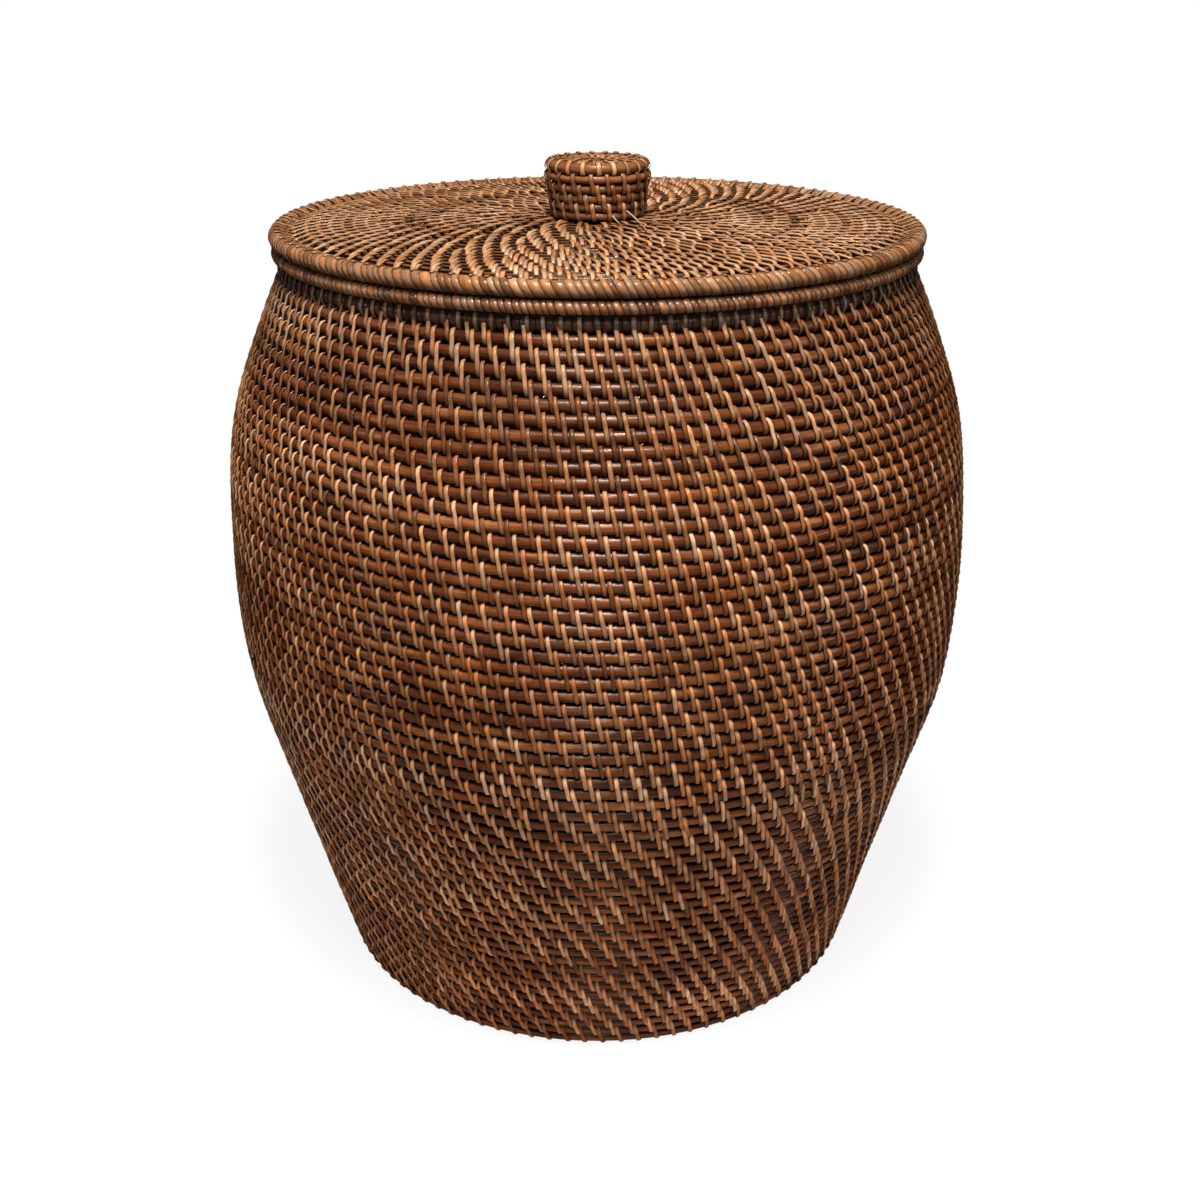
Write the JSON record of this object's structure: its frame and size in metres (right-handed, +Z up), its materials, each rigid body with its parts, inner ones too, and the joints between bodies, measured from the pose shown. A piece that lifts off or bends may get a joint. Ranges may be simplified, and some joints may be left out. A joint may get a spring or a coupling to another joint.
{
  "type": "laundry basket",
  "caption": "Tall barrel-shaped laundry basket of coiled, stitched rattan cane with a bound rim and a flat lift-off lid with a round knob.",
  "frame": {"origin": "centre of the flat ring that the basket stands on", "axes": "+Z up along the basket's axis; the picture was taken from -Y, with +X to its right"},
  "size_m": [0.5006, 0.5006, 0.5531],
  "materials": {
    "wall_cane": "varnished reddish-brown rattan core, row by row, under lighter peel stitches",
    "base_cane": "varnished brown rattan core, a little duller than the wall",
    "lid_cane": "varnished honey-brown rattan, stitched close",
    "peel": "glossy honey-coloured split rattan peel, wound side by side"
  },
  "bodies": {
    "basket": {"base_start": "base_cane", "base_coil_inner": "base_cane", "base_coil_outer": "base_cane", "foot_coil": "wall_cane", "wall_coil_1": "wall_cane", "wall_coil_2": "wall_cane", "wall_coil_3": "wall_cane", "wall_coil_4": "wall_cane", "wall_coil_5": "wall_cane", "wall_coil_6": "wall_cane", "wall_coil_7": "wall_cane", "wall_coil_8": "wall_cane", "neck_coil": "wall_cane", "rim_ties": "peel", "basket_hoop": "peel"},
    "lid": {"lid_start": "lid_cane", "lid_coil_1": "lid_cane", "lid_coil_2": "lid_cane", "lid_coil_3": "lid_cane", "lid_shoulder_coil": "lid_cane", "lid_hoop": "peel", "lid_collar": "lid_cane", "knob_coil": "lid_cane", "knob_cap": "lid_cane"}
  },
  "joints": [
    {"name": "lid_lift", "type": "slide", "parent": "basket", "child": "lid", "axis": [0, 0, 1], "range_m": [0, 0.3]}
  ]
}
